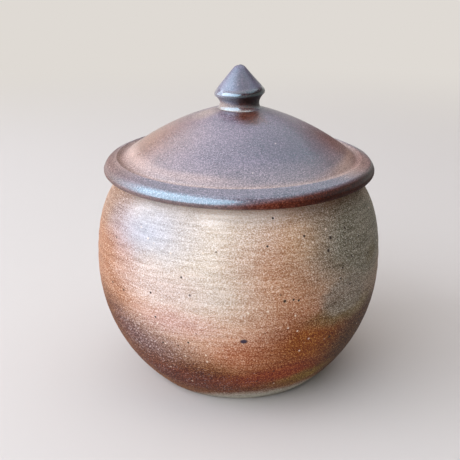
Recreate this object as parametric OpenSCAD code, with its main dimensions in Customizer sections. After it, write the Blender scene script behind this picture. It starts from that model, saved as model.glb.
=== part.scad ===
// Salt pot: a wheel-thrown stoneware pot with a lift-off domed lid and a pointed knob.
// Millimetres, +Z up, with the origin at the middle of the base.
// Each piece is turned from an outline drawn as [radius, height].

/* [Pot] */
// Diameter of the pot at its belly
belly_d = 110; // [96:1:140]
// Height of the belly's widest line above the base
belly_z = 47; // [36:0.5:58]
// Diameter of the base
base_d = 66; // [46:1:86]
// Height of the bevel trimmed round the base's edge
base_bevel = 0.6; // [0.2:0.1:2]
// Height of the lip above the base
pot_h = 81.5; // [74:0.5:110]
// Clear diameter of the mouth
mouth_d = 78; // [60:1:86]
// Width of the lip
lip_w = 3.6; // [3:0.1:6]
// Radius of the lip's edges
lip_round = 1.2; // [0.4:0.1:1.4]
// Height of the straight throat below the lip
throat_h = 4.2; // [2:0.1:8]
// Angle that the shoulder leans inward where it meets the lip
shoulder_lean = 60; // [45:1:75]
// Thickness of the wall
wall = 5; // [3.5:0.1:8]
// Thickness of the floor
floor_t = 7; // [5:0.1:12]
// Diameter of the flat part of the floor
floor_d = 26; // [10:1:40]

/* [Lid] */
// How far the lid stands out past the pot's lip
lid_overhang = 9; // [6:0.1:14]
// Height of the dome's crown above the lip
dome_h = 23.8; // [16:0.1:34]
// How far the dome swells out from a straight cone
dome_bulge = 1.9; // [0:0.1:4]
// Thickness of the dome, straight down
dome_t = 6; // [4:0.1:9]
// Width of the raised rim
rim_w = 5; // [4:0.1:8]
// Height of the rim's edge
rim_h = 5; // [4.8:0.1:9]
// Radius of the rim's upper edge
rim_top_round = 3.2; // [1:0.1:3.3]
// Radius of the rim's lower edge
rim_low_round = 1.4; // [0.4:0.1:1.5]
// Angle at which the rim's top climbs inward
rim_climb = 23; // [5:1:35]
// Width of the groove between the dome and the rim
groove_w = 3; // [2:0.1:6]
// Depth of the groove
groove_depth = 0.8; // [0.3:0.1:2]
// Depth of the locating flange below the lip
flange_h = 8; // [6:0.1:14]
// Thickness of the flange
flange_t = 4; // [3:0.1:6]
// Radius of the flange's lower edges
flange_round = 1; // [0.4:0.1:1.4]
// Gap between the flange and the mouth
flange_gap = 1; // [0.4:0.1:2]

/* [Knob] */
// Diameter of the knob at its widest
knob_d = 19.2; // [17.6:0.1:30]
// Height of the knob
knob_h = 16.2; // [12:0.1:26]
// Diameter of the knob's foot, where it is luted to the crown
knob_foot_d = 16.6; // [15.6:0.1:26]
// Diameter of the knob's neck
neck_d = 15.1; // [10:0.1:16]
// Height of the neck above the crown
neck_z = 1.9; // [1:0.1:3.5]
// Height of the widest band above the crown
band_z = 5.2; // [4:0.1:7]
// Height of the widest band
band_h = 1.6; // [0.6:0.1:3]
// Diameter of the blunt tip
tip_d = 3; // [1:0.1:6]

/* [Hidden] */
$fn = 96;
// Straight steps along each curve of an outline
steps = 16;
// Points closer than this are one point
same_point = 0.001;
// Share of the knob's cone that its rounded tip takes up
tip_share = 0.12;

belly_r = belly_d / 2;
base_r = base_d / 2;
mouth_r = mouth_d / 2;
flange_r = mouth_r - flange_gap;
flange_in_r = flange_r - flange_t;
lid_r = mouth_r + lip_w + lid_overhang;
crown_z = pot_h + dome_h;
knob_foot_r = knob_foot_d / 2;

// Curve from a to c that leaves a towards b and comes into c from b
function bend(a, b, c) =
    [for (i = [0:steps]) let (t = i / steps) a * pow(1 - t, 2) + 2 * b * t * (1 - t) + c * pow(t, 2)];

// Curve from a to c that swells by bulge to the left of the straight line between them
function bow(a, c, bulge) =
    let (along = (c - a) / norm(c - a))
    bend(a, (a + c) / 2 + 2 * bulge * [-along.y, along.x], c);

// Circular arc about a centre, between two angles
function arc(centre, r, from, to) =
    [for (i = [0:steps]) let (a = from + (to - from) * i / steps) centre + r * [cos(a), sin(a)]];

// One outline from several curves, without the point that each shares with the one before it
function joined(curves) =
    let (points = [for (curve = curves) each curve])
    [for (i = [0:len(points) - 1]) if (i == 0 || norm(points[i] - points[i - 1]) > same_point) points[i]];

// Side of the pot above the belly: upright at the belly, and leaning in where it meets the top
function shoulder(r, top) =
    bend([r, belly_z], [r, top.y - (r - top.x) / tan(shoulder_lean)], top);

// Outside of the pot, from the base up to the top of the lip
function pot_outside() =
    let (
        round_r = (pow(belly_r - base_r, 2) + pow(belly_z, 2)) / (2 * (belly_r - base_r)),
        foot_angle = asin((base_bevel - belly_z) / round_r),
        lip_centre = [mouth_r + lip_w - lip_round, pot_h - lip_round],
        lip_start = lip_centre + lip_round * [cos(shoulder_lean), sin(shoulder_lean)]
    )
    joined([
        [[0, 0], [base_r - base_bevel, 0]],
        arc([belly_r - round_r, belly_z], round_r, foot_angle, 0),
        shoulder(belly_r, lip_start),
        arc(lip_centre, lip_round, shoulder_lean, 90)
    ]);

// Inside of the pot, from the lip down through the throat to the floor
function pot_inside() =
    let (
        inner_r = belly_r - wall,
        throat = [mouth_r, pot_h - throat_h],
        side = shoulder(inner_r, throat)
    )
    joined([
        arc([mouth_r + lip_round, pot_h - lip_round], lip_round, 90, 180),
        [for (i = [steps:-1:0]) side[i]],
        bend([inner_r, belly_z], [inner_r, floor_t], [floor_d / 2, floor_t]),
        [[0, floor_t]]
    ]);

module pot_body() {
    color("#b5865f")
        rotate_extrude()
            polygon(joined([pot_outside(), pot_inside()]));
}

// Where the rim's sloping top meets its rounded edge, and where it ends at the groove
rim_centre = [lid_r - rim_top_round, pot_h + rim_h - rim_top_round];
rim_crease = rim_centre + rim_top_round * [sin(rim_climb), cos(rim_climb)];
rim_in_r = lid_r - rim_w;
rim_inner = [rim_in_r, rim_crease.y + (rim_crease.x - rim_in_r) * tan(rim_climb)];
dome_foot = [rim_in_r - groove_w, rim_inner.y];

// Top of the dome, from the groove up to the flat crown that the knob stands on
function dome_top() = joined([bow(dome_foot, [knob_foot_r, crown_z], -dome_bulge), [[0, crown_z]]]);

// Lid with its rim and flange, still solid below the dome
module lid_blank() {
    low_centre = [lid_r - rim_low_round, pot_h + rim_low_round];
    flange_z = pot_h - flange_h;
    groove_bed = [dome_foot.x + groove_w / 2, rim_inner.y - 2 * groove_depth];
    polygon(joined([
        [[0, flange_z + flange_round]],
        arc([flange_in_r + flange_round, flange_z + flange_round], flange_round, 180, 270),
        arc([flange_r - flange_round, flange_z + flange_round], flange_round, 270, 360),
        [[flange_r, pot_h]],
        arc(low_centre, rim_low_round, -90, 0),
        arc(rim_centre, rim_top_round, 0, 90 - rim_climb),
        bend(rim_inner, groove_bed, dome_foot),
        dome_top()
    ]));
}

// Hollow under the dome: the dome's own shape, lowered by its thickness and kept inside the flange
module lid_hollow() {
    intersection() {
        translate([0, -dome_t])
            polygon(joined([[[0, pot_h - flange_h], [dome_foot.x, pot_h - flange_h]], dome_top()]));
        translate([0, pot_h - 2 * flange_h])
            square([flange_in_r, 2 * flange_h + dome_h]);
    }
}

module domed_lid() {
    color("#75564f")
        rotate_extrude()
            difference() {
                lid_blank();
                lid_hollow();
            }
}

module lid_knob() {
    neck = [neck_d / 2, neck_z];
    band_swell = band_h / 8;
    band_low = [knob_d / 2 - band_swell, band_z];
    band_top = [knob_d / 2 - band_swell, band_z + band_h];
    tip = [tip_d / 2, knob_h];
    cone_end = tip + (band_top - tip) * tip_share;
    color("#6d5a5c")
        translate([0, 0, crown_z])
            rotate_extrude()
                polygon(joined([
                    [[0, 0]],
                    bend([knob_foot_r, 0], [neck.x, neck_z / 2], neck),
                    bend(neck, [neck.x, (neck_z + band_z) / 2], band_low),
                    bow(band_low, band_top, -band_swell),
                    bend(cone_end, tip, [0, knob_h])
                ]));
}

pot_body();
domed_lid();
lid_knob();
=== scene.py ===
import math

import bpy
import numpy as np
from bpy.props import FloatProperty, FloatVectorProperty, PointerProperty
from bpy.types import Operator, Panel, PropertyGroup
from mathutils import Matrix, Vector


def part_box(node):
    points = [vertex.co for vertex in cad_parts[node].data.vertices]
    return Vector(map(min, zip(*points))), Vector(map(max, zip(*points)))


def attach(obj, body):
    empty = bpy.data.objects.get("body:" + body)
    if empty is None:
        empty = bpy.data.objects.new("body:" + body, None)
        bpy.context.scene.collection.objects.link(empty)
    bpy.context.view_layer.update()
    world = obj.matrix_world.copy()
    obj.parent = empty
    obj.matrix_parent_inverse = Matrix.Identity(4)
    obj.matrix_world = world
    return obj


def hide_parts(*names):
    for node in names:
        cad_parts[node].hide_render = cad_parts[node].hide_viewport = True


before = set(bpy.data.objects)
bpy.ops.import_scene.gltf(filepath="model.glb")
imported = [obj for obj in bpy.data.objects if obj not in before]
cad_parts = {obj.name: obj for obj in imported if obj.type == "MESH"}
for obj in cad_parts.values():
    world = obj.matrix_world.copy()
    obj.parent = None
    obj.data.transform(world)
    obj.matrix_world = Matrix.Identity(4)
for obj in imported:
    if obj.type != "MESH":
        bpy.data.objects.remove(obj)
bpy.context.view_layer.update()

bl_info = {
    "name": "Salt Pot",
    "version": (1, 0, 0),
    "blender": (4, 5, 0),
    "location": "View3D > Sidebar > Salt Pot",
    "description": "Builds a thrown stoneware salt pot with its lid, knob, studio floor, light and camera",
    "category": "Object",
}

# Metres, +Z up, origin at the middle of the base. The photographed side faces -Y.
# Azimuths are seen from above: 0 faces the camera and 90 is the right-hand side.
MM = 0.001
# Width of the photograph in pixels, width of the camera's sensor in millimetres, and how near and far the
# camera sees in metres
PHOTO_PIXELS = 460
SENSOR_WIDTH = 36.0
CLIP_NEAR, CLIP_FAR = 0.01, 50.0

# Segments round each turned mesh, sides of the floor, and the spacing of points along an outline
POT_SEGMENTS = 320
LID_SEGMENTS = 320
KNOB_SEGMENTS = 144
FLOOR_SIDES = 64
FINE_STEP = 0.3 * MM
KNOB_STEP = FINE_STEP / 1.5
SIDE_STEP = 0.6 * MM
PLAIN_STEP = 1.4 * MM

# Points of an outline that are closer than this are one point
SAME_POINT = 1e-7
# Points over which one mark on an outline fades into the next, an odd number
FADE_POINTS = 9
# Edges that turn by more degrees than this stay sharp
SHARP_EDGE = 45
# Share of the knob's cone that each of its rounded ends takes up
CONE_END = 0.12
# Share of its own height by which the knob's band swells out
BAND_SWELL = 1 / 8
# Share of their depth that the throwing rings keep, away from where they show most
RING_LEAST = 0.3

# Sockets of the Mix node: its factor, what it mixes as colours, and what it mixes as plain values
MIX_FACTOR, MIX_A, MIX_B, MIX_COLOUR = 0, 6, 7, 2
MIX_VALUE_A, MIX_VALUE_B = 2, 3

pot_low, pot_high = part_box("pot_body")
lid_low, lid_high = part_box("domed_lid")
knob_low, knob_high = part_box("lid_knob")


def linear(hex_colour):
    """Linear RGBA from an sRGB hex colour such as #c49a78."""
    parts = [int(hex_colour[i:i + 2], 16) / 255 for i in (1, 3, 5)]
    return [c / 12.92 if c <= 0.04045 else ((c + 0.055) / 1.055) ** 2.4 for c in parts] + [1.0]


def length(name, description, default):
    """A size property in metres."""
    return FloatProperty(name=name, description=description, default=default, unit="LENGTH", precision=5)


def angle(name, description, degrees):
    """An angle property, given in degrees."""
    return FloatProperty(name=name, description=description, default=math.radians(degrees), subtype="ANGLE")


def paint(name, description, hex_colour):
    """A colour property, given as an sRGB hex value."""
    return FloatVectorProperty(name=name, description=description, default=linear(hex_colour),
                               size=4, min=0.0, max=1.0, subtype="COLOR")


class PotSizes(PropertyGroup):
    """Sizes of the thrown pot."""
    belly_d: length("Belly", "Widest diameter of the pot", pot_high.x - pot_low.x)
    belly_z: length("Belly height", "Height of the widest line", 47 * MM)
    base_d: length("Base", "Diameter of the base", 66 * MM)
    base_bevel: length("Base bevel", "Height of the bevel trimmed round the base", 0.6 * MM)
    pot_h: length("Lip height", "Height of the lip above the base", pot_high.z)
    mouth_d: length("Mouth", "Clear diameter of the mouth", 78 * MM)
    lip_w: length("Lip width", "Width of the lip", 3.6 * MM)
    lip_round: length("Lip edge", "Radius of the lip's edges", 1.2 * MM)
    throat_h: length("Throat", "Height of the straight throat below the lip", 4.2 * MM)
    shoulder_lean: angle("Shoulder lean", "Lean of the shoulder where it meets the lip", 60)
    wall: length("Wall", "Thickness of the wall", 5 * MM)
    floor_t: length("Floor", "Thickness of the floor", 7 * MM)
    floor_d: length("Floor flat", "Diameter of the flat part of the floor", 26 * MM)


class LidSizes(PropertyGroup):
    """Sizes of the domed lid."""
    lid_d: length("Lid", "Diameter of the lid", lid_high.x - lid_low.x)
    crown_z: length("Crown", "Height of the crown above the base", lid_high.z)
    dome_bulge: length("Dome swell", "How far the dome swells out from a cone", 1.9 * MM)
    dome_t: length("Dome thickness", "Thickness of the dome, straight down", 6 * MM)
    rim_w: length("Rim width", "Width of the raised rim", 5 * MM)
    rim_h: length("Rim height", "Height of the rim's edge", 5 * MM)
    rim_top_round: length("Rim upper edge", "Radius of the rim's upper edge", 3.2 * MM)
    rim_low_round: length("Rim lower edge", "Radius of the rim's lower edge", 1.4 * MM)
    rim_flat: FloatProperty(name="Rim flatness", description="How far the rim's rounded edge is ribbed flat",
                            default=0.5, min=0.0, max=1.0)
    rim_climb: angle("Rim slope", "Angle at which the rim's top climbs inward", 23)
    groove_w: length("Groove width", "Width of the groove beside the rim", 3 * MM)
    groove_depth: length("Groove depth", "Depth of the groove", 0.8 * MM)
    foot_w: length("Dome foot", "How far in from the rim the dome's pale foot reaches", 12 * MM)
    flange_z: length("Flange end", "Height of the flange's lower end", lid_low.z)
    flange_t: length("Flange thickness", "Thickness of the flange", 4 * MM)
    flange_round: length("Flange edge", "Radius of the flange's lower edges", 1 * MM)
    flange_gap: length("Flange gap", "Gap between the flange and the mouth", 1 * MM)


class KnobSizes(PropertyGroup):
    """Sizes of the pointed knob."""
    knob_d: length("Knob", "Widest diameter of the knob", knob_high.x - knob_low.x)
    foot_z: length("Knob foot", "Height of the knob's foot above the base", knob_low.z)
    knob_h: length("Knob height", "Height of the knob", knob_high.z - knob_low.z)
    foot_d: length("Foot", "Diameter of the foot that is luted to the crown", 16.6 * MM)
    neck_d: length("Neck", "Diameter of the neck", 15.1 * MM)
    neck_z: length("Neck height", "Height of the neck above the crown", 1.9 * MM)
    band_z: length("Band height", "Height of the widest band above the crown", 5.2 * MM)
    band_h: length("Band", "Height of the widest band", 1.6 * MM)
    tip_d: length("Tip", "Diameter of the blunt tip", 3 * MM)
    tilt: angle("Tilt", "How far the band leans down to the left", 3.6)


class PotColours(PropertyGroup):
    """Colours of the pot's clay, and of the zones that the flame laid on it, some of which hold painted light
    and shade.
    """
    clay: paint("Clay", "Bare buff clay", "#c69d80")
    inside: paint("Inside", "Clay inside the pot", "#b48e6e")
    speck: paint("Iron speck", "Iron specks in the clay", "#33241d")
    grain: paint("Pale grain", "Pale grains in the clay", "#e3d2bd")
    # Painted glints: pale ash flecks, painted bright as sparkles of sheen.
    glint_fleck: paint("Fleck", "Pale flecks of ash on the plum foot", "#e2cfca")
    low_brown: paint("Low brown", "Foot all round", "#7a4719")
    back_tan: paint("Back tan", "Middle of the back", "#b98f6e")
    back_rust: paint("Back rust", "Foot of the back, to the right", "#95562a")
    back_brown: paint("Back brown", "Foot of the back, to the left", "#6f4434")
    back_grey: paint("Back grey", "Right of the back", "#85806f")
    cream: paint("Cream", "Middle of the front", "#cdbda9")
    # Painted light: the band just under the lid is painted light cream where the lid's edge shades it.
    lip_cream_painted_light: paint("Lip cream", "Front, just under the lid", "#eee2d2")
    pink_tan: paint("Pink tan", "Front, right of the middle", "#aa662a")
    straw: paint("Straw", "Under the lid, to the right", "#cea076")
    left_orange: paint("Left orange", "Left side", "#a57454")
    left_tan: paint("Left tan", "Left shoulder", "#92755f")
    # Partly ash bloom, partly painted sheen: the shoulder is painted pale where the window light glances off
    # it.
    bloom_and_sheen: paint("Ash bloom", "Pale shoulder, left of the middle", "#a7acb7")
    pink: paint("Pink", "Blush at the left of the belly", "#c6afa3")
    blush: paint("Blush", "Under the pink, left of the middle", "#c39d92")
    left_olive: paint("Left olive", "Foot at the far left", "#63310a")
    plum: paint("Plum", "Speckled foot on the left", "#4b2b31")
    low_orange: paint("Low orange", "Under the middle of the front", "#b3663c")
    rust: paint("Rust", "Foot of the front, to the right", "#85410a")
    dark_foot: paint("Dark foot", "Lowest part on the left", "#541b0a")
    deep_rust: paint("Deep rust", "Lowest part of the front", "#7c2a0a")
    # Partly painted shade: the far right foot is painted darker where the light falls off, against the light
    # the pale floor throws up.
    right_shade: paint("Right brown", "Foot at the far right", "#42230a")
    ochre_edge: paint("Ochre edge", "Halo under the grey side", "#71623b")
    # Partly ash grey, partly painted shade: the right side is painted darker where less light reaches it.
    right_grey_and_shade: paint("Right grey", "Ash-grey right side", "#656555")
    right_olive: paint("Right olive", "Streak in the grey side", "#594a23")
    grey_tongue: paint("Grey tongue", "Ash run from the grey side", "#7c7263")
    ochre: paint("Ochre", "Foot, right of the middle", "#78591a")
    base_band: paint("Base band", "Bare band round the base", "#b8b3a2")
    spot: paint("Iron spot", "Larger iron spots", "#2a1c15")
    blister: paint("Blister", "Blue-black blister at the front", "#262338")


class LidColours(PropertyGroup):
    """Colours of the lid's salted clay, of its forms and of the flame's zones on it, with painted shade on
    the rim's right edge and a painted reflection of the knob.
    """
    clay: paint("Clay", "Salted dome", "#75606c")
    inside: paint("Inside", "Clay under the dome", "#a17a60")
    grain: paint("Pale grain", "Pale grains in the clay", "#cdbab4")
    left_lilac: paint("Left lilac", "Left of the dome's front", "#8a757c")
    left_tan: paint("Left tan", "Left side of the dome", "#99705c")
    right_slate: paint("Right slate", "Right of the dome's front", "#563f4c")
    right_brown: paint("Right brown", "Right side of the dome", "#704a40")
    back_tan: paint("Back tan", "Back of the dome", "#8a6350")
    crown_tan: paint("Crown tan", "Left of the knob's foot", "#a58d80")
    # Painted reflection: the clay's red-brown, painted on the crown where the knob's dark reflection falls.
    crown_brown_reflection: paint("Crown brown", "In front of the knob's foot", "#5c3022")
    foot: paint("Dome foot", "Lowest part of the dome", "#937a72")
    groove: paint("Groove", "Groove beside the rim", "#aa8c80")
    rim_top: paint("Rim top", "Top of the rim", "#6f5e66")
    rim_band: paint("Rim band", "Rounded edge of the rim", "#6c6068")
    rim_side: paint("Rim side", "Lower edge of the rim", "#654236")
    left_peach: paint("Left peach", "Groove on the left", "#c8a596")
    right_peach: paint("Right peach", "Groove on the right", "#b8927f")
    rim_tan: paint("Rim tan", "Rim on the left", "#7a6056")
    rim_rust: paint("Rim rust", "Rim on the right", "#745650")
    rim_red: paint("Rim red", "Edge of the rim, right of the middle", "#5a281a")
    # Painted shade and a painted dark reflection: the rim's edge on the right is painted near black.
    rim_right_shade: paint("Rim dark", "Edge of the rim on the right", "#260c06")


class KnobColours(PropertyGroup):
    """Colours of the knob's glossy clay, with painted shade under the band and painted light, sheen and a
    highlight on its left and at its foot.
    """
    clay: paint("Clay", "Salted cone", "#605064")
    inside: paint("Inside", "Clay where the knob is luted", "#a17a60")
    grain: paint("Pale grain", "Pale grains in the clay", "#cdbab4")
    neck: paint("Neck", "Neck", "#82727b")
    band: paint("Band", "Widest band", "#665a62")
    # Painted sheen: the left of the cone is painted lighter where the window light falls.
    cone_left_sheen: paint("Cone left", "Left of the cone", "#867d8b")
    neck_brown: paint("Neck brown", "Front of the neck", "#5c2216")
    # Painted light: the left of the neck is painted pale orange as its lit side and rim light.
    neck_left_lit: paint("Left pale", "Left of the neck", "#ab8f80")
    # Painted highlight: the fillet at the knob's foot is painted pale as a line of light.
    foot_highlight: paint("Foot pale", "Fillet at the foot", "#b0a296")
    # Painted shade: the underside of the band on the right is painted near black.
    under_band_shade: paint("Under dark", "Under the band on the right", "#26100a")
    cone_shade: paint("Cone shade", "Right of the cone's front", "#573a40")


class ThrowingMarks(PropertyGroup):
    """Marks that the potter's fingers and tools leave."""
    ring_pitch: length("Ring pitch", "Distance between throwing rings", 4.6 * MM)
    ring_z: length("Ring height", "Height at which the throwing rings show most", 52 * MM)
    ring_depth: length("Ring depth", "Depth of the throwing rings outside", 0.06 * MM)
    finger_depth: length("Finger depth", "Depth of the finger rings inside", 0.35 * MM)
    line_pitch: length("Line pitch", "Distance between the turning lines on the dome", 2.3 * MM)
    line_depth: length("Line depth", "Depth of the turning lines on the dome", 0.012 * MM)
    waver: length("Waver", "How far the round forms waver", 0.12 * MM)


class StageSizes(PropertyGroup):
    """Camera, floor and light."""
    camera_back: length("Camera distance", "How far the camera stands in front of the pot", 334.1 * MM)
    camera_up: length("Camera height", "Height of the camera above the floor", 176.4 * MM)
    camera_pitch: angle("Camera pitch", "How far the camera looks down", 19.763)
    camera_yaw: angle("Camera yaw", "How far the camera looks to the right", -0.566)
    camera_roll: angle("Camera roll", "How far the camera is turned about its view", 0.227)
    focal_pixels: FloatProperty(name="Focal length", description="Focal length in pixels of the photograph",
                                default=900.0)
    floor_r: length("Floor", "Radius of the round floor", 8.0)
    floor_rise: length("Backdrop", "Height of the backdrop round the floor", 2.6)
    floor_lit: length("Lit floor", "How far from the pot the lamps alone light the floor", 0.3)
    floor_far: length("Far floor", "How far from the pot the floor shows only its far colour", 0.75)
    floor_colour: paint("Floor colour", "Pale colour of the floor", "#cbc6be")
    far_colour: paint("Far colour", "Colour that the far floor shows", "#dfdad4")
    world_colour: paint("World colour", "Colour of the light from all round", "#f4f0ea")
    world_strength: FloatProperty(name="World strength", description="Strength of the light from all round",
                                  default=0.16, min=0.0)


class SaltPotSettings(PropertyGroup):
    """All the settings of the salt pot."""
    pot: PointerProperty(type=PotSizes)
    lid: PointerProperty(type=LidSizes)
    knob: PointerProperty(type=KnobSizes)
    marks: PointerProperty(type=ThrowingMarks)
    pot_colours: PointerProperty(type=PotColours)
    lid_colours: PointerProperty(type=LidColours)
    knob_colours: PointerProperty(type=KnobColours)
    stage: PointerProperty(type=StageSizes)


# Outlines, as arrays of radius and height

def straight(a, b, step):
    """Points on a straight line."""
    count = max(1, math.ceil(np.linalg.norm(np.subtract(b, a)) / step))
    return np.linspace(a, b, count + 1)


def bend(a, b, c, step):
    """Curve from a to c that leaves a towards b and comes into c from b."""
    a, b, c = (np.array(p, float) for p in (a, b, c))
    reach = np.linalg.norm(b - a) + np.linalg.norm(c - b)
    t = np.linspace(0, 1, max(2, math.ceil(reach / step)) + 1)[:, None]
    return a * (1 - t) ** 2 + 2 * b * t * (1 - t) + c * t ** 2


def bow(a, c, bulge, step):
    """Curve from a to c that swells by bulge to the left of the line between them."""
    a, c = np.array(a, float), np.array(c, float)
    along = (c - a) / np.linalg.norm(c - a)
    return bend(a, (a + c) / 2 + 2 * bulge * np.array([-along[1], along[0]]), c, step)


def arc(centre, radius, start, end, step):
    """Circular arc about a centre, between two angles."""
    count = max(3, math.ceil(abs(end - start) * radius / step))
    turn = np.linspace(start, end, count + 1)
    return np.array(centre) + radius * np.stack([np.cos(turn), np.sin(turn)], -1)


def outline(stretches):
    """Joins (mark, points) stretches into one outline, with the share of each mark at each point."""
    marks = sorted({mark for mark, _ in stretches})
    points, shares = [], []
    for mark, stretch in stretches:
        for point in stretch:
            if points and np.linalg.norm(point - points[-1]) < SAME_POINT:
                continue
            points.append(point)
            shares.append([float(mark == m) for m in marks])
    shares = np.array(shares)
    kernel = np.hanning(FADE_POINTS) / np.hanning(FADE_POINTS).sum()
    padded = np.pad(shares, ((FADE_POINTS // 2, FADE_POINTS // 2), (0, 0)), mode="edge")
    return np.array(points), {m: np.convolve(padded[:, i], kernel, "valid") for i, m in enumerate(marks)}


def turned(name, points, segments, shares, relief, lift=None):
    """Object turned about Z from an outline that starts and ends on the axis. At each azimuth, relief says
    how far each point moves outward, and lift how far up. The shares become attributes of the mesh."""
    run = np.gradient(points, axis=0)
    normal = np.stack([run[:, 1], -run[:, 0]], -1)
    normal /= np.linalg.norm(normal, axis=1, keepdims=True)
    turn = np.arange(segments)[:, None] * 2 * math.pi / segments
    radius, height = (points[:, i] + normal[:, i] * relief(turn) for i in (0, 1))
    if lift:
        height = height + lift(turn)
    rings = np.stack([radius * np.sin(turn), -radius * np.cos(turn), height], -1)[:, 1:-1]
    rows = len(points) - 2
    verts = np.concatenate([rings.reshape(-1, 3), [[0, 0, points[0, 1]], [0, 0, points[-1, 1]]]])
    start, end = segments * rows, segments * rows + 1
    faces = []
    for j in range(segments):
        here, there = j * rows, (j + 1) % segments * rows
        faces.append((start, there, here))
        faces.extend((here + i, there + i, there + i + 1, here + i + 1) for i in range(rows - 1))
        faces.append((end, here + rows - 1, there + rows - 1))
    mesh = bpy.data.meshes.new(name)
    mesh.from_pydata(verts.tolist(), [], faces)
    mesh.polygons.foreach_set("use_smooth", [True] * len(mesh.polygons))
    mesh.set_sharp_from_angle(angle=math.radians(SHARP_EDGE))
    for mark, share in shares.items():
        values = np.concatenate([np.tile(share[1:-1], segments), share[[0, -1]]])
        mesh.attributes.new(mark, "FLOAT", "POINT").data.foreach_set("value", values.astype(np.float32))
    piece = bpy.data.objects.new(name, mesh)
    bpy.context.scene.collection.objects.link(piece)
    return piece


def placed(piece, body, node, material):
    """Puts a turned piece in the place of its CAD node, on its body."""
    piece.data.materials.append(material)
    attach(piece, body)
    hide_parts(node)


# Shapes

def shoulder(pot, radius, top, step):
    """Side above the belly: upright at the belly, and leaning in where it meets the top."""
    crossing = (radius, top[1] - (radius - top[0]) / math.tan(pot.shoulder_lean))
    return bend((radius, pot.belly_z), crossing, top, step)


def pot_outline(pot):
    """Outline of the pot, from under its base, up the outside, over the lip and down to the floor."""
    belly_r, base_r, mouth_r = pot.belly_d / 2, pot.base_d / 2, pot.mouth_d / 2
    swell = belly_r - base_r
    round_r = (swell ** 2 + pot.belly_z ** 2) / (2 * swell)
    foot = math.asin((pot.base_bevel - pot.belly_z) / round_r)
    side = arc((belly_r - round_r, pot.belly_z), round_r, foot, 0, SIDE_STEP)
    edge = (mouth_r + pot.lip_w - pot.lip_round, pot.pot_h - pot.lip_round)
    lip_out = arc(edge, pot.lip_round, pot.shoulder_lean, math.pi / 2, FINE_STEP)
    lip_in = arc((mouth_r + pot.lip_round, edge[1]), pot.lip_round, math.pi / 2, math.pi, FINE_STEP)
    throat = (mouth_r, pot.pot_h - pot.throat_h)
    inner_r = belly_r - pot.wall
    bevel = (base_r - pot.base_bevel, 0)
    floor = (pot.floor_d / 2, pot.floor_t)
    return outline([
        ("bare", straight((0, 0), (bevel[0] - MM, 0), 6 * PLAIN_STEP)),
        ("bare", straight((bevel[0] - MM, 0), bevel, FINE_STEP)),
        ("plain", straight(bevel, side[0], FINE_STEP)),
        ("outside", side),
        ("outside", shoulder(pot, belly_r, lip_out[0], SIDE_STEP)),
        ("plain", lip_out),
        ("plain", straight(lip_out[-1], lip_in[0], FINE_STEP)),
        ("bare", lip_in),
        ("bare", straight(lip_in[-1], throat, 2 * FINE_STEP)),
        ("inside", shoulder(pot, inner_r, throat, PLAIN_STEP)[::-1]),
        ("inside", bend((inner_r, pot.belly_z), (inner_r, pot.floor_t), floor, PLAIN_STEP)),
        ("bare", straight(floor, (0, pot.floor_t), 3 * PLAIN_STEP)),
    ])


def lid_outline(pot, lid, knob):
    """Outline of the lid, from under its crown, down the flange, out along the seat and round the rim."""
    seat_z, lid_r = pot.pot_h, lid.lid_d / 2
    flange_r = pot.mouth_d / 2 - lid.flange_gap
    flange_in = flange_r - lid.flange_t
    rim_at = (lid_r - lid.rim_top_round, seat_z + lid.rim_h - lid.rim_top_round)
    rim = arc(rim_at, lid.rim_top_round, 0, math.pi / 2 - lid.rim_climb, FINE_STEP)
    rim = rim + (np.linspace(rim[0], rim[-1], len(rim)) - rim) * lid.rim_flat
    # The lowest eighth of the rounded edge belongs to the rim's side, and the upper quarter to its top.
    side_end, band_end = len(rim) // 8, 3 * len(rim) // 4
    rim_in = lid_r - lid.rim_w
    inner = (rim_in, rim[-1][1] + (rim[-1][0] - rim_in) * math.tan(lid.rim_climb))
    foot = (rim_in - lid.groove_w, inner[1])
    bed = (rim_in - lid.groove_w / 2, inner[1] - 2 * lid.groove_depth)
    crown = (knob.foot_d / 2, lid.crown_z)
    dome = bow(foot, crown, -lid.dome_bulge, SIDE_STEP)
    under = dome - (0, lid.dome_t)
    under = under[under[:, 0] < flange_in - FINE_STEP][::-1]
    roof = (flange_in, np.interp(flange_in, dome[::-1, 0], dome[::-1, 1]) - lid.dome_t)
    low_z = lid.flange_z + lid.flange_round
    inside = arc((flange_in + lid.flange_round, low_z), lid.flange_round, math.pi, 1.5 * math.pi, FINE_STEP)
    outside = arc((flange_r - lid.flange_round, low_z), lid.flange_round, -0.5 * math.pi, 0, FINE_STEP)
    low_at = (lid_r - lid.rim_low_round, seat_z + lid.rim_low_round)
    low = arc(low_at, lid.rim_low_round, -0.5 * math.pi, 0, FINE_STEP)
    return outline([
        ("bare", straight((0, lid.crown_z - lid.dome_t), under[0], 2 * PLAIN_STEP)),
        ("bare", under[::2]),
        ("bare", straight(under[-1], roof, FINE_STEP)),
        ("bare", straight(roof, inside[0], PLAIN_STEP)),
        ("bare", inside),
        ("bare", outside),
        ("bare", straight(outside[-1], (flange_r, seat_z), PLAIN_STEP)),
        ("bare", straight((flange_r, seat_z), low[0], PLAIN_STEP)),
        ("rim_side", low),
        ("rim_side", rim[:side_end]),
        ("rim_band", rim[side_end:band_end]),
        ("rim_top", rim[band_end:]),
        ("rim_top", straight(rim[-1], inner, FINE_STEP)),
        ("groove", bend(inner, bed, foot, FINE_STEP)),
        ("dome", dome),
        ("plain", straight(crown, (0, lid.crown_z), 2 * PLAIN_STEP)),
    ])


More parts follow.
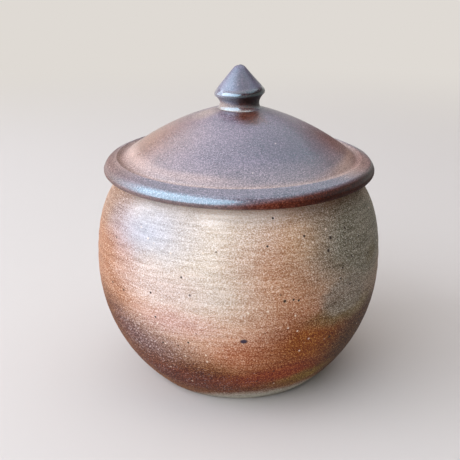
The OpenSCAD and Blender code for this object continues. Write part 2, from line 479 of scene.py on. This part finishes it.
def knob_outline(knob):
    """Outline of the knob, from its foot, up the neck and band, and up the cone to the blunt tip."""
    z = knob.foot_z
    neck = (knob.neck_d / 2, z + knob.neck_z)
    swell = knob.band_h * BAND_SWELL
    low = (knob.knob_d / 2 - swell, z + knob.band_z)
    top = np.array((low[0], low[1] + knob.band_h))
    tip = np.array((knob.tip_d / 2, z + knob.knob_h))
    waist = np.array((knob.knob_d / 2, low[1] + knob.band_h / 2))
    cone_low, cone_top = (top + (tip - top) * share for share in (CONE_END, 1 - CONE_END))
    return outline([
        ("plain", straight((0, z), (knob.foot_d / 2, z), PLAIN_STEP)),
        ("neck", bend((knob.foot_d / 2, z), (neck[0], z + knob.neck_z / 2), neck, KNOB_STEP)),
        ("neck", bend(neck, (neck[0], (neck[1] + low[1]) / 2), low, KNOB_STEP)),
        ("band", bend(low, (waist[0], low[1] + swell), waist, KNOB_STEP)),
        ("band", bend(waist, (waist[0], top[1]), cone_low, KNOB_STEP)),
        ("cone", straight(cone_low, cone_top, KNOB_STEP)),
        ("cone", bend(cone_top, tip, (0, z + knob.knob_h), KNOB_STEP)),
    ])


def throwing_rings(z, turn, pitch):
    """Height of a one-start spiral of throwing rings, from -1 to 1, loosened so that it isn't even."""
    spiral = 2 * math.pi * z / pitch + turn
    slow = 0.9 * np.sin(2 * math.pi * z / (5.3 * pitch) + 2 * turn)
    quick = 0.5 * np.sin(3 * turn + z / pitch)
    return np.sin(spiral + (slow + quick))


# Materials

# Sizes in the clay, in millimetres: swirls of the flame, how far they shift its zones, throwing lines, sand,
# pits in the film and clouds in it. Sand and pits are 0.3 mm, drawn larger so that they show.
SWIRL_SIZE = 16
ZONE_SHIFT = 8.0
LINE_SIZE = 0.8
SAND_SIZE = 0.38
PIT_SIZE = 0.45
CLOUD_SIZE = 9
# Least half depth of a zone into the clay, in millimetres
POT_ZONE_DEPTH = 30.0
LID_ZONE_DEPTH = 12.0
# Shrinking the level axes draws a pattern out round the wheel: far for throwing lines, a little for sand
LINE_DRAW = (0.08, 0.08, 1)
SAND_DRAW = (0.8, 0.8, 1)
# Most of what a noise texture gives lies between the first and the last of these
NOISE_LOW, NOISE_MIDDLE, NOISE_HIGH = 0.3, 0.5, 0.7
# Where a grain's soft edge starts and ends, in shares of its diameter, and which cells hide and show theirs
GRAIN_OUTER, GRAIN_INNER = 0.65, 0.35
GRAIN_BURIED, GRAIN_SHOWN = 0.3, 0.6
# Share of the sand that the ash bloom and its painted sheen hide, and the painted glint flecks on the dark
# foot as a share of those on the plum
ASH_HIDES = 0.6
DARK_FLECKS = 0.3
# Roughness of the pot's clay, and of the ash bloom with its painted sheen, and the depth of the sand
CLAY_ROUGH, BLOOM_ROUGH = 0.65, 0.58
SAND_RELIEF = 0.06 * MM
# How much rougher the lid and knob are where they are dry and where they are bare, and how far clouds change
# their roughness
DRY_ROUGH, BARE_ROUGH, CLOUD_ROUGH = 0.45, 0.35, 0.05
# Tint of what the film reflects, and of what dry clay reflects
FILM_TINT = "#c0f3ff"
DRY_TINT = "#3a2f2a"


def add(tree, kind, inputs=None, **settings):
    """Adds a shader node. An input takes a value, or another node's output, which is linked."""
    node = tree.nodes.new(kind)
    for key, value in settings.items():
        setattr(node, key, value)
    for key, value in (inputs or {}).items():
        if isinstance(value, bpy.types.NodeSocket):
            tree.links.new(value, node.inputs[key])
        else:
            node.inputs[key].default_value = value
    return node


def blank_material(name):
    """New node material with an empty tree."""
    material = bpy.data.materials.new(name)
    material.use_nodes = True
    material.node_tree.nodes.clear()
    return material, material.node_tree


def clay_points(tree):
    """Points in millimetres, and the same shifted by swirls, as the flame's zones are."""
    place = add(tree, "ShaderNodeTexCoord").outputs["Object"]
    point = add(tree, "ShaderNodeVectorMath", {0: place, "Scale": 1 / MM}, operation="SCALE").outputs[0]
    swirl = add(tree, "ShaderNodeTexNoise", {
        "Vector": point, "Scale": 1 / SWIRL_SIZE, "Detail": 5.0, "Roughness": 0.7}).outputs["Color"]
    swirl = add(tree, "ShaderNodeVectorMath", {
        0: swirl, 1: (NOISE_MIDDLE,) * 3}, operation="SUBTRACT").outputs[0]
    flow = add(tree, "ShaderNodeVectorMath", {
        0: swirl, 1: (ZONE_SHIFT,) * 3, 2: point}, operation="MULTIPLY_ADD").outputs[0]
    return point, flow


def flashed(tree, colour, flow, zones, colours, depth):
    """Lays soft-edged zones of colour over a colour. Depth is the least half depth of a zone into the clay.
    Returns the colour, and the cover of each zone by its name."""
    covers = {}
    for name, azimuth, radius, height, width, rise, tilt, soft, strength in zones:
        turn = math.radians(azimuth)
        centre = (radius * math.sin(turn), -radius * math.cos(turn), height)
        local = add(tree, "ShaderNodeMapping", {
            "Vector": flow, "Location": centre, "Rotation": (0, math.radians(tilt), turn),
            "Scale": (width, max(width, depth), rise)}, vector_type="TEXTURE").outputs[0]
        near = add(tree, "ShaderNodeTexGradient", {"Vector": local}, gradient_type="SPHERICAL").outputs["Fac"]
        covers[name] = add(tree, "ShaderNodeMapRange", {
            "Value": near, "From Max": soft, "To Max": strength}, interpolation_type="SMOOTHSTEP").outputs[0]
        colour = add(tree, "ShaderNodeMix", {
            MIX_FACTOR: covers[name], MIX_A: colour, MIX_B: getattr(colours, name)},
            data_type="RGBA").outputs[MIX_COLOUR]
    return colour, covers


def grains(tree, point, cell, size):
    """Cover of round grains in the clay: size is their diameter, one in each cell, in millimetres. Some are
    buried deeper and show less."""
    near = add(tree, "ShaderNodeTexVoronoi", {"Vector": point, "Scale": 1 / cell}).outputs
    cover = add(tree, "ShaderNodeMapRange", {
        "Value": near["Distance"], "From Min": GRAIN_OUTER * size / cell,
        "From Max": GRAIN_INNER * size / cell}).outputs[0]
    shown = add(tree, "ShaderNodeMapRange", {
        "Value": near["Color"], "From Min": GRAIN_BURIED, "From Max": GRAIN_SHOWN}).outputs[0]
    return add(tree, "ShaderNodeMath", {0: cover, 1: shown}, operation="MULTIPLY").outputs[0]


def sanded(tree, colour, sand, contrast, depth):
    """Colour with sand in it. Contrast tells alike on all of the clay. Depth tells more the darker the clay
    is, as pale sand does under a film."""
    ends = {"Value": sand, "From Min": NOISE_LOW, "From Max": NOISE_HIGH}
    power = add(tree, "ShaderNodeMapRange", {**ends, "To Min": 1 + depth, "To Max": 1 - depth}).outputs[0]
    tone = add(tree, "ShaderNodeMapRange", {
        **ends, "To Min": 1 - contrast, "To Max": 1 + contrast}).outputs[0]
    colour = add(tree, "ShaderNodeGamma", {"Color": colour, "Gamma": power}).outputs[0]
    return add(tree, "ShaderNodeVectorMath", {0: colour, 1: tone}, operation="MULTIPLY").outputs[0]


# Zones in the order that they lie on the clay: name of the colour, azimuth, radius, height, half width,
# half height, tilt, softness and strength. Degrees and millimetres. A softness of 1 fades from the middle,
# and a small one has a clear edge.
POT_ZONES = (
    ("back_tan", 175, 48, 55, 60, 55, 0, 0.9, 0.9),
    ("back_rust", 150, 44, 20, 46, 24, 10, 0.8, 0.85),
    ("back_brown", -125, 46, 24, 46, 32, -15, 0.85, 0.9),
    ("back_grey", 110, 50, 60, 42, 36, 10, 0.6, 0.85),
    ("low_brown", 0, 0, 6, 100, 33, 0, 0.4, 1.0),
    ("cream", -10, 52, 70, 50, 34, 0, 0.45, 1.0),
    # Painted light under the lid's edge
    ("lip_cream_painted_light", -5, 46, 81, 48, 7, 0, 0.7, 0.95),
    ("pink_tan", 18, 52, 58, 28, 30, 0, 0.9, 0.7),
    ("straw", 25, 50, 70, 13, 12, 0, 0.8, 0.6),
    ("left_orange", -65, 54, 54, 32, 28, 0, 0.5, 1.0),
    ("left_tan", -70, 50, 73, 24, 12, 0, 0.8, 0.75),
    # Partly ash bloom, partly painted sheen from the window light
    ("bloom_and_sheen", -40, 50, 70, 30, 17, 0, 1.0, 0.75),
    ("pink", -30, 52, 52, 30, 13, 5, 0.9, 0.75),
    ("blush", -25, 50, 40, 25, 8, 5, 0.9, 0.7),
    ("left_olive", -65, 50, 28, 27, 20, 0, 0.7, 1.0),
    ("plum", -40, 50, 29, 28, 16, 12, 0.9, 0.75),
    ("low_orange", 5, 50, 28, 25, 12, 0, 1.0, 0.75),
    ("rust", 32, 48, 32, 32, 22, -5, 0.7, 1.0),
    ("dark_foot", -25, 42, 13, 45, 12, 5, 0.75, 0.95),
    ("deep_rust", 20, 42, 17, 30, 8, -5, 0.75, 0.95),
    # Partly painted shade on the far right foot
    ("right_shade", 65, 46, 25, 34, 32, -20, 0.65, 1.0),
    ("ochre_edge", 45, 53, 40, 24, 7, 0, 0.7, 0.7),
    ("right_grey_and_shade", 60, 53, 64, 46, 31, 0, 0.7, 0.9),
    ("right_olive", 65, 54, 57, 9, 5, 0, 0.8, 0.6),
    ("grey_tongue", 45, 54, 46, 15, 9, 0, 0.45, 0.75),
    ("ochre", 35, 40, 13, 16, 5, -10, 0.8, 0.8),
    ("base_band", 25, 33, -12, 50, 21, -2, 0.25, 0.95),
)
# Iron that bled through the clay
POT_SPOTS = (
    ("blister", 2.3, 52, 34.6, 1.7, 1.1, 0, 0.5, 0.95),
    ("spot", 17, 54, 49.5, 0.8, 0.8, 0, 0.6, 0.95),
    ("spot", 38, 50, 68.5, 0.9, 0.8, 0, 0.6, 0.95),
    ("spot", 36, 52, 64.5, 0.8, 0.8, 0, 0.6, 0.95),
    ("spot", 39, 49, 30.5, 1.0, 0.9, 0, 0.6, 0.9),
)
LID_ZONES = (
    ("left_lilac", -38, 32, 96, 30, 22, 0, 1.0, 0.9),
    ("left_tan", -85, 38, 93, 40, 24, 0, 0.9, 0.95),
    ("right_slate", 44, 31, 96, 27, 16, 0, 0.9, 0.8),
    ("right_brown", 88, 38, 93, 26, 20, 0, 0.9, 0.9),
    ("back_tan", 175, 36, 94, 44, 20, 0, 0.9, 0.8),
    ("crown_tan", -80, 11, 104, 9, 5, 0, 0.8, 0.8),
    # Painted reflection of the knob on the crown
    ("crown_brown_reflection", 24, 10.5, 104.6, 8, 3.2, 0, 0.7, 1.0),
)
# Colours that follow the lid's and knob's forms: mark, strength, change of roughness, and pooled glaze, or
# less than 0 where the film is thin
LID_MARKS = (
    ("foot", 0.7, 0.04, 0.0),
    ("groove", 0.9, 0.1, 0.0),
    ("rim_top", 0.9, 0.0, 0.0),
    ("rim_band", 0.9, -0.16, 0.2),
    ("rim_side", 0.9, -0.05, -0.3),
)
LID_EDGES = (
    ("left_peach", -78, 45, 88.8, 34, 3.4, 0, 0.8, 0.85),
    ("left_peach", -26, 42, 88.9, 26, 2.0, 0, 0.9, 0.4),
    ("right_peach", 74, 46, 87.8, 28, 2.8, 0, 0.8, 0.85),
    ("rim_tan", -82, 50, 85, 46, 5.5, 0, 0.8, 0.9),
    ("rim_rust", 82, 50, 87, 24, 3, 0, 0.8, 0.7),
    ("rim_red", 50, 52, 83.2, 56, 3.2, 0, 0.4, 1.0),
    # Painted shade and dark reflection on the rim's right edge
    ("rim_right_shade", 66, 52, 83, 50, 3.6, 0, 0.5, 0.95),
)
# Zones that no film reached
LID_MATT = ("right_brown", "rim_red", "rim_tan", "rim_rust", "rim_right_shade")
KNOB_MARKS = (
    ("neck", 0.8, -0.24, 0.2),
    ("band", 0.8, -0.28, 0.6),
)
KNOB_ZONES = (
    # Painted sheen on the cone's left
    ("cone_left_sheen", -62, 7, 115, 9, 9, 0, 0.9, 0.85),
    ("cone_shade", 12, 6, 115, 4.5, 9, 0, 0.8, 0.7),
    ("neck_brown", 28, 8, 108, 7, 3.4, 0, 0.6, 0.95),
    # Painted light on the neck's left
    ("neck_left_lit", -60, 8, 107, 9, 2.6, 0, 0.9, 0.8),
    # Painted highlight on the foot's fillet
    ("foot_highlight", -25, 8.3, 105.5, 12, 1.0, 0, 0.6, 0.8),
    # Painted shade under the band on the right
    ("under_band_shade", 90, 8.8, 109.2, 17.5, 4.4, 8, 0.4, 1.0),
)
KNOB_MATT = ("under_band_shade",)


def flashed_stoneware(colours):
    """Buff stoneware, thrown with grog and wood-fired without a glaze: sandy to the eye, flashed from cream
    to rust and grey by the flame, with iron specks, pale grains and a thin ash sheen. Some of its colour is
    painted light: a painted sheen in the ash bloom, painted glints in the flecks, painted light just under
    the lid, and painted shade on the right."""
    material, tree = blank_material("flashed_stoneware_wood_fired")
    point, flow = clay_points(tree)
    colour, covers = flashed(tree, colours.clay, flow, POT_ZONES, colours, POT_ZONE_DEPTH)
    bare = add(tree, "ShaderNodeAttribute", attribute_name="bare").outputs["Fac"]
    colour = add(tree, "ShaderNodeMix", {MIX_FACTOR: bare, MIX_A: colour, MIX_B: colours.inside},
                 data_type="RGBA").outputs[MIX_COLOUR]

    drawn = add(tree, "ShaderNodeVectorMath", {0: point, 1: LINE_DRAW}, operation="MULTIPLY").outputs[0]
    lines = add(tree, "ShaderNodeTexNoise", {
        "Vector": drawn, "Scale": 1 / LINE_SIZE, "Detail": 2.0}).outputs["Fac"]
    wiped = add(tree, "ShaderNodeVectorMath", {0: point, 1: SAND_DRAW}, operation="MULTIPLY").outputs[0]
    sand = add(tree, "ShaderNodeTexNoise", {
        "Vector": wiped, "Scale": 1 / SAND_SIZE, "Detail": 1.0}).outputs["Fac"]
    colour = sanded(tree, colour, lines, contrast=0.08, depth=0.12)
    # The ash bloom and its painted sheen lie over the sand, so less of the sand shows there.
    ash = add(tree, "ShaderNodeMath", {0: covers["bloom_and_sheen"], 1: ASH_HIDES}, operation="MULTIPLY").outputs[0]
    shown = add(tree, "ShaderNodeMix", {
        MIX_FACTOR: ash, MIX_VALUE_A: sand, MIX_VALUE_B: NOISE_MIDDLE}).outputs[0]
    colour = sanded(tree, colour, shown, contrast=0.0, depth=0.55)

    # Pale flecks of ash, painted bright as glints of sheen, lie only where the foot is burnt dark.
    burnt = add(tree, "ShaderNodeMath", {0: covers["dark_foot"], 1: DARK_FLECKS, 2: covers["plum"]},
                operation="MULTIPLY_ADD", use_clamp=True).outputs[0]
    glint_fleck = add(tree, "ShaderNodeMath", {0: grains(tree, point, cell=1.0, size=0.55), 1: burnt},
                operation="MULTIPLY").outputs[0]
    layers = (
        (glint_fleck, colours.glint_fleck),
        (grains(tree, point, cell=4.5, size=0.75), colours.grain),
        (grains(tree, point, cell=5.0, size=0.85), colours.speck),
    )
    for cover, over in layers:
        colour = add(tree, "ShaderNodeMix", {MIX_FACTOR: cover, MIX_A: colour, MIX_B: over},
                     data_type="RGBA").outputs[MIX_COLOUR]
    colour, _ = flashed(tree, colour, point, POT_SPOTS, colours, POT_ZONE_DEPTH)

    rough = add(tree, "ShaderNodeMapRange", {
        "Value": covers["bloom_and_sheen"], "To Min": CLAY_ROUGH, "To Max": BLOOM_ROUGH}).outputs[0]
    height = add(tree, "ShaderNodeMath", {0: sand, 1: lines}, operation="ADD").outputs[0]
    bump = add(tree, "ShaderNodeBump", {"Height": height, "Strength": 1.0, "Distance": SAND_RELIEF})
    shader = add(tree, "ShaderNodeBsdfPrincipled", {
        "Base Color": colour, "Roughness": rough, "IOR": 1.5, "Specular IOR Level": 0.3,
        "Normal": bump.outputs[0]})
    add(tree, "ShaderNodeOutputMaterial", {"Surface": shader.outputs["BSDF"]})
    return material


def salted_stoneware(name, colours, zones, marks, edges, matt, roughness, grit, pits):
    """Iron-bearing stoneware whose top has drawn a thin film of salt and ash: purple-brown and finely pitted
    like orange peel, with a cool satin sheen, and bare orange clay where the film stayed thin. No film
    reached the zones named by matt. Grit is how much the pits show in the colour, and pits is their depth."""
    material, tree = blank_material(name)
    point, flow = clay_points(tree)
    colour, covers = flashed(tree, colours.clay, flow, zones, colours, LID_ZONE_DEPTH)

    peel = add(tree, "ShaderNodeTexNoise", {
        "Vector": point, "Scale": 1 / PIT_SIZE, "Detail": 1.0}).outputs["Fac"]
    cloud = add(tree, "ShaderNodeTexNoise", {
        "Vector": flow, "Scale": 1 / CLOUD_SIZE, "Detail": 3.0}).outputs["Fac"]
    rough = add(tree, "ShaderNodeMapRange", {
        "Value": cloud, "From Min": NOISE_LOW, "From Max": NOISE_HIGH,
        "To Min": roughness - CLOUD_ROUGH, "To Max": roughness + CLOUD_ROUGH}).outputs[0]
    pool = 0.0
    for mark, strength, change, glaze in marks:
        share = add(tree, "ShaderNodeAttribute", attribute_name=mark).outputs["Fac"]
        cover = add(tree, "ShaderNodeMath", {0: share, 1: strength}, operation="MULTIPLY").outputs[0]
        colour = add(tree, "ShaderNodeMix", {MIX_FACTOR: cover, MIX_A: colour, MIX_B: getattr(colours, mark)},
                     data_type="RGBA").outputs[MIX_COLOUR]
        rough = add(tree, "ShaderNodeMath", {
            0: share, 1: change, 2: rough}, operation="MULTIPLY_ADD").outputs[0]
        pool = add(tree, "ShaderNodeMath", {
            0: share, 1: glaze, 2: pool}, operation="MULTIPLY_ADD").outputs[0]
    colour, edge_covers = flashed(tree, colour, point, edges, colours, LID_ZONE_DEPTH)
    covers.update(edge_covers)
    unfilmed = 0.0
    for zone in matt:
        unfilmed = add(tree, "ShaderNodeMath", {
            0: unfilmed, 1: covers[zone]}, operation="MAXIMUM").outputs[0]
    # Pooled glaze shows where a film lies, and the clay is dry where there is none or it is thin.
    coat = add(tree, "ShaderNodeMath", {
        0: pool, 1: unfilmed}, operation="SUBTRACT", use_clamp=True).outputs[0]
    dry = add(tree, "ShaderNodeMath", {
        0: unfilmed, 1: pool}, operation="SUBTRACT", use_clamp=True).outputs[0]
    rough = add(tree, "ShaderNodeMath", {
        0: dry, 1: DRY_ROUGH, 2: rough}, operation="MULTIPLY_ADD").outputs[0]
    bare = add(tree, "ShaderNodeAttribute", attribute_name="bare").outputs["Fac"]
    colour = add(tree, "ShaderNodeMix", {MIX_FACTOR: bare, MIX_A: colour, MIX_B: colours.inside},
                 data_type="RGBA").outputs[MIX_COLOUR]
    rough = add(tree, "ShaderNodeMath", {
        0: bare, 1: BARE_ROUGH, 2: rough}, operation="MULTIPLY_ADD").outputs[0]
    colour = sanded(tree, colour, cloud, contrast=0.1, depth=0.0)
    colour = sanded(tree, colour, peel, contrast=grit, depth=grit)
    grain = grains(tree, point, cell=4.8, size=0.55)
    colour = add(tree, "ShaderNodeMix", {MIX_FACTOR: grain, MIX_A: colour, MIX_B: colours.grain},
                 data_type="RGBA").outputs[MIX_COLOUR]

    film = add(tree, "ShaderNodeMix", {
        MIX_FACTOR: dry, MIX_A: linear(FILM_TINT), MIX_B: linear(DRY_TINT)},
        data_type="RGBA").outputs[MIX_COLOUR]
    bump = add(tree, "ShaderNodeBump", {"Height": peel, "Strength": 1.0, "Distance": pits})
    shader = add(tree, "ShaderNodeBsdfPrincipled", {
        "Base Color": colour, "Roughness": rough, "IOR": 2.1, "Specular Tint": film,
        "Coat Weight": coat, "Coat Roughness": 0.12, "Coat IOR": 2.0, "Normal": bump.outputs[0]})
    add(tree, "ShaderNodeOutputMaterial", {"Surface": shader.outputs["BSDF"]})
    return material


# Operators for the pieces

class SALTPOT_OT_pot(Operator):
    """Turns the pot with its throwing rings outside and finger rings inside"""
    bl_idname = "saltpot.pot"
    bl_label = "Pot"

    def execute(self, context):
        settings = context.scene.salt_pot
        marks = settings.marks
        points, share = pot_outline(settings.pot)
        share["bare"] += share["inside"]
        z = points[:, 1]

        def relief(turn):
            rings = marks.ring_depth * throwing_rings(z, turn, marks.ring_pitch)
            near = np.exp(-((z - marks.ring_z) / (2 * marks.ring_pitch)) ** 2)
            shown = RING_LEAST + (1 - RING_LEAST) * near
            finger = marks.finger_depth * throwing_rings(z, turn, 2 * marks.ring_pitch)
            return share["outside"] * rings * shown + share["inside"] * finger

        piece = turned("pot_body_thrown", points, POT_SEGMENTS, share, relief)
        placed(piece, "pot", "pot_body", flashed_stoneware(settings.pot_colours))
        return {"FINISHED"}


class SALTPOT_OT_lid(Operator):
    """Turns the domed lid with its groove, rim, seat and flange"""
    bl_idname = "saltpot.lid"
    bl_label = "Lid"

    def execute(self, context):
        settings = context.scene.salt_pot
        marks = settings.marks
        points, share = lid_outline(settings.pot, settings.lid, settings.knob)
        r = points[:, 0]
        rim_in = settings.lid.lid_d / 2 - settings.lid.rim_w
        share["foot"] = share["dome"] * np.clip(1 - (rim_in - r) / settings.lid.foot_w, 0, 1)

        def relief(turn):
            lines = marks.line_depth * throwing_rings(r, turn, marks.line_pitch)
            waver = marks.waver * (np.sin(2 * turn + 1) + 0.6 * np.sin(5 * turn))
            return share["dome"] * lines + (share["rim_top"] + share["rim_band"] + share["rim_side"]) * waver

        piece = turned("domed_lid_thrown", points, LID_SEGMENTS, share, relief)
        material = salted_stoneware(
            "salted_stoneware_lid", settings.lid_colours, LID_ZONES, LID_MARKS, LID_EDGES, LID_MATT,
            roughness=0.3, grit=0.25, pits=0.07 * MM)
        placed(piece, "lid", "domed_lid", material)
        return {"FINISHED"}


class SALTPOT_OT_knob(Operator):
    """Turns the pointed knob that is luted to the crown"""
    bl_idname = "saltpot.knob"
    bl_label = "Knob"

    def execute(self, context):
        settings = context.scene.salt_pot
        marks = settings.marks
        knob = settings.knob
        points, share = knob_outline(knob)

        # The waver only goes inward, so the knob gets no wider than its CAD node.
        def relief(turn):
            return (1 - share["plain"]) * marks.waver * (np.sin(turn) - 1 + 0.4 * np.sin(3 * turn))

        # The lean is full at the band, and fades out to the foot and the tip.
        def lift(turn):
            heights = np.cumsum((0, knob.band_z, knob.band_h, knob.knob_h - knob.band_z - knob.band_h))
            lean = np.interp(points[:, 1], knob.foot_z + heights, (0, 1, 1, 0)) * math.tan(knob.tilt)
            return lean * points[:, 0] * np.sin(turn)

        piece = turned("lid_knob_turned", points, KNOB_SEGMENTS, share, relief, lift)
        material = salted_stoneware(
            "salted_stoneware_knob", settings.knob_colours, (), KNOB_MARKS, KNOB_ZONES, KNOB_MATT,
            roughness=0.38, grit=0.16, pits=0.02 * MM)
        placed(piece, "lid", "lid_knob", material)
        return {"FINISHED"}


# Stage

# Soft lights: name, place, the point that it faces, width and height, watts and colour. Metres.
LIGHTS = (
    ("window_light", (-0.81, -0.72, 0.72), (0, 0, 0.06), (2.1, 1.1), 30.0, "#e9efff"),
    ("side_light", (-1.25, 0.35, 0.62), (0, 0, 0.08), (1.0, 0.8), 5.4, "#e9efff"),
    ("ceiling_light", (-0.15, 0.55, 1.1), (-0.15, 0.55, 0), (2.3, 2.3), 18.0, "#fbf8ff"),
)


def pale_floor(stage):
    """Board with matt paint rolled on: pale and even to the eye. Beyond the reach of the lamps, it shows its
    own pale colour to the camera and in reflections."""
    material, tree = blank_material("pale_floor")
    near = add(tree, "ShaderNodeBsdfPrincipled", {"Base Color": stage.floor_colour, "Roughness": 0.9})
    place = add(tree, "ShaderNodeTexCoord").outputs["Object"]
    reach = add(tree, "ShaderNodeVectorMath", {0: place}, operation="LENGTH").outputs["Value"]
    far = add(tree, "ShaderNodeMapRange", {
        "Value": reach, "From Min": stage.floor_lit, "From Max": stage.floor_far},
        interpolation_type="SMOOTHSTEP").outputs[0]
    path = add(tree, "ShaderNodeLightPath").outputs
    seen = path["Is Camera Ray"]
    for ray in ("Is Glossy Ray", "Is Transmission Ray"):
        seen = add(tree, "ShaderNodeMath", {0: seen, 1: path[ray]}, operation="MAXIMUM").outputs[0]
    seen = add(tree, "ShaderNodeMath", {0: seen, 1: far}, operation="MULTIPLY").outputs[0]
    glow = add(tree, "ShaderNodeEmission", {"Color": stage.far_colour})
    both = add(tree, "ShaderNodeMixShader", {0: seen, 1: near.outputs[0], 2: glow.outputs[0]})
    add(tree, "ShaderNodeOutputMaterial", {"Surface": both.outputs[0]})
    return material


def lay_floor(stage):
    """Lays a round floor with a backdrop round it."""
    turns = np.arange(FLOOR_SIDES) * 2 * math.pi / FLOOR_SIDES
    edge = [(stage.floor_r * math.cos(turn), stage.floor_r * math.sin(turn)) for turn in turns]
    verts = [(x, y, z) for z in (0, stage.floor_rise) for x, y in edge]
    faces = [tuple(range(FLOOR_SIDES))]
    for i in range(FLOOR_SIDES):
        j = (i + 1) % FLOOR_SIDES
        faces.append((j, i, i + FLOOR_SIDES, j + FLOOR_SIDES))
    mesh = bpy.data.meshes.new("floor")
    mesh.from_pydata(verts, [], faces)
    mesh.materials.append(pale_floor(stage))
    floor = bpy.data.objects.new("floor", mesh)
    bpy.context.scene.collection.objects.link(floor)


def light_studio(stage):
    """Sets the even light from all round, and hangs the soft lights."""
    world = bpy.data.worlds.new("studio")
    world.use_nodes = True
    back = world.node_tree.nodes["Background"]
    back.inputs["Color"].default_value = stage.world_colour
    back.inputs["Strength"].default_value = stage.world_strength
    bpy.context.scene.world = world
    for name, place, target, size, watts, hex_colour in LIGHTS:
        data = bpy.data.lights.new(name, "AREA")
        data.shape = "RECTANGLE"
        data.size, data.size_y = size
        data.energy = watts
        data.color = linear(hex_colour)[:3]
        light = bpy.data.objects.new(name, data)
        light.location = place
        light.rotation_euler = (Vector(target) - Vector(place)).to_track_quat("-Z", "Y").to_euler()
        bpy.context.scene.collection.objects.link(light)


def set_camera(stage):
    """Stands the camera where the photograph was taken from."""
    data = bpy.data.cameras.new("camera")
    data.lens = stage.focal_pixels / PHOTO_PIXELS * SENSOR_WIDTH
    data.sensor_width = SENSOR_WIDTH
    data.sensor_fit = "AUTO"
    data.clip_start = CLIP_NEAR
    data.clip_end = CLIP_FAR
    pitch, yaw, roll = stage.camera_pitch, stage.camera_yaw, stage.camera_roll
    ahead = Vector((math.sin(yaw) * math.cos(pitch), math.cos(yaw) * math.cos(pitch), -math.sin(pitch)))
    right = Vector((math.cos(yaw), -math.sin(yaw), 0))
    up = right.cross(ahead)
    across = right * math.cos(roll) + up * math.sin(roll)
    upward = up * math.cos(roll) - right * math.sin(roll)
    turn = Matrix((across, upward, -ahead)).transposed().to_4x4()
    camera = bpy.data.objects.new("camera", data)
    camera.matrix_world = Matrix.Translation((0, -stage.camera_back, stage.camera_up)) @ turn
    bpy.context.scene.collection.objects.link(camera)
    bpy.context.scene.camera = camera


class SALTPOT_OT_stage(Operator):
    """Lays the pale floor, hangs the soft lights and sets the camera"""
    bl_idname = "saltpot.stage"
    bl_label = "Stage"

    def execute(self, context):
        stage = context.scene.salt_pot.stage
        context.scene.view_settings.view_transform = "Standard"
        lay_floor(stage)
        light_studio(stage)
        set_camera(stage)
        return {"FINISHED"}


class SALTPOT_PT_panel(Panel):
    """Lists the pieces of the salt pot in the sidebar"""
    bl_label = "Salt Pot"
    bl_idname = "SALTPOT_PT_panel"
    bl_space_type = "VIEW_3D"
    bl_region_type = "UI"
    bl_category = "Salt Pot"

    def draw(self, context):
        for operator in OPERATORS:
            self.layout.operator(operator.bl_idname)


OPERATORS = (SALTPOT_OT_pot, SALTPOT_OT_lid, SALTPOT_OT_knob, SALTPOT_OT_stage)
GROUPS = (PotSizes, LidSizes, KnobSizes, PotColours, LidColours, KnobColours, ThrowingMarks, StageSizes,
          SaltPotSettings)
CLASSES = GROUPS + OPERATORS + (SALTPOT_PT_panel,)


def register():
    """Registers the classes and hangs the settings on the scene."""
    for cls in CLASSES:
        bpy.utils.register_class(cls)
    bpy.types.Scene.salt_pot = PointerProperty(type=SaltPotSettings)


def unregister():
    """Takes the settings and classes away again."""
    del bpy.types.Scene.salt_pot
    for cls in reversed(CLASSES):
        bpy.utils.unregister_class(cls)


def main():
    """Builds the salt pot."""
    register()
    bpy.ops.saltpot.pot()
    bpy.ops.saltpot.lid()
    bpy.ops.saltpot.knob()
    bpy.ops.saltpot.stage()


if __name__ == "__main__":
    main()
